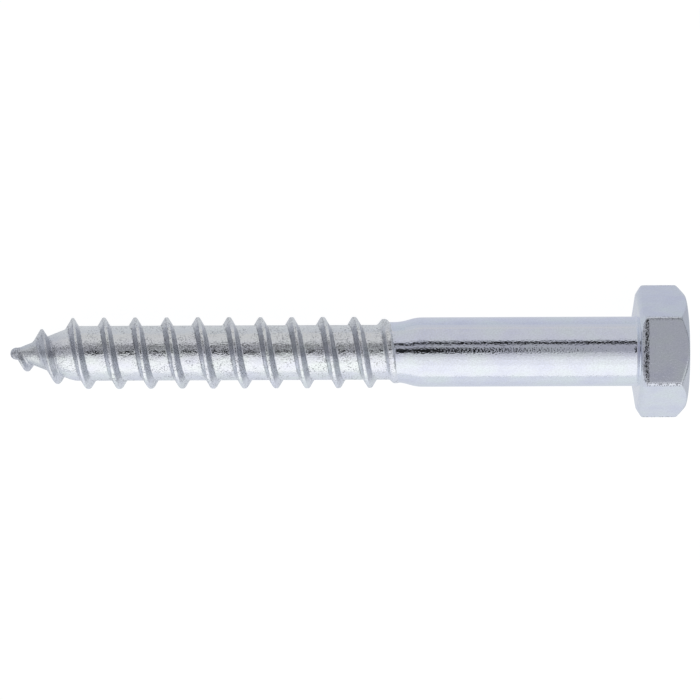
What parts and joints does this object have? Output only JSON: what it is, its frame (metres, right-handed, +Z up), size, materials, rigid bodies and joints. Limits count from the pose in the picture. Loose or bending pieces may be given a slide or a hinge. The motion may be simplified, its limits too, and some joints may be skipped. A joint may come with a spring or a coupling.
{
  "type": "lag screw",
  "caption": "Zinc-plated hex-head lag screw with a plain shank, a coarse wood thread and a gimlet point, lying on its head and thread.",
  "frame": {"origin": "middle of the bearing face under the head, on the screw's axis", "axes": "+X along the screw towards the head, with the axis rising by 2.30 degrees because the screw lies on its head and thread; +Z up, square to the head's level flats but for that lean; +Y level, across the head's corners"},
  "size_m": [0.0972, 0.019, 0.0169],
  "materials": {
    "zinc_plated_steel": "bright blue-white zinc plating, smooth and shiny on the shank, slightly pitted in the rolled thread"
  },
  "bodies": {
    "root": {"lag_screw": "zinc_plated_steel"}
  },
  "joints": []
}
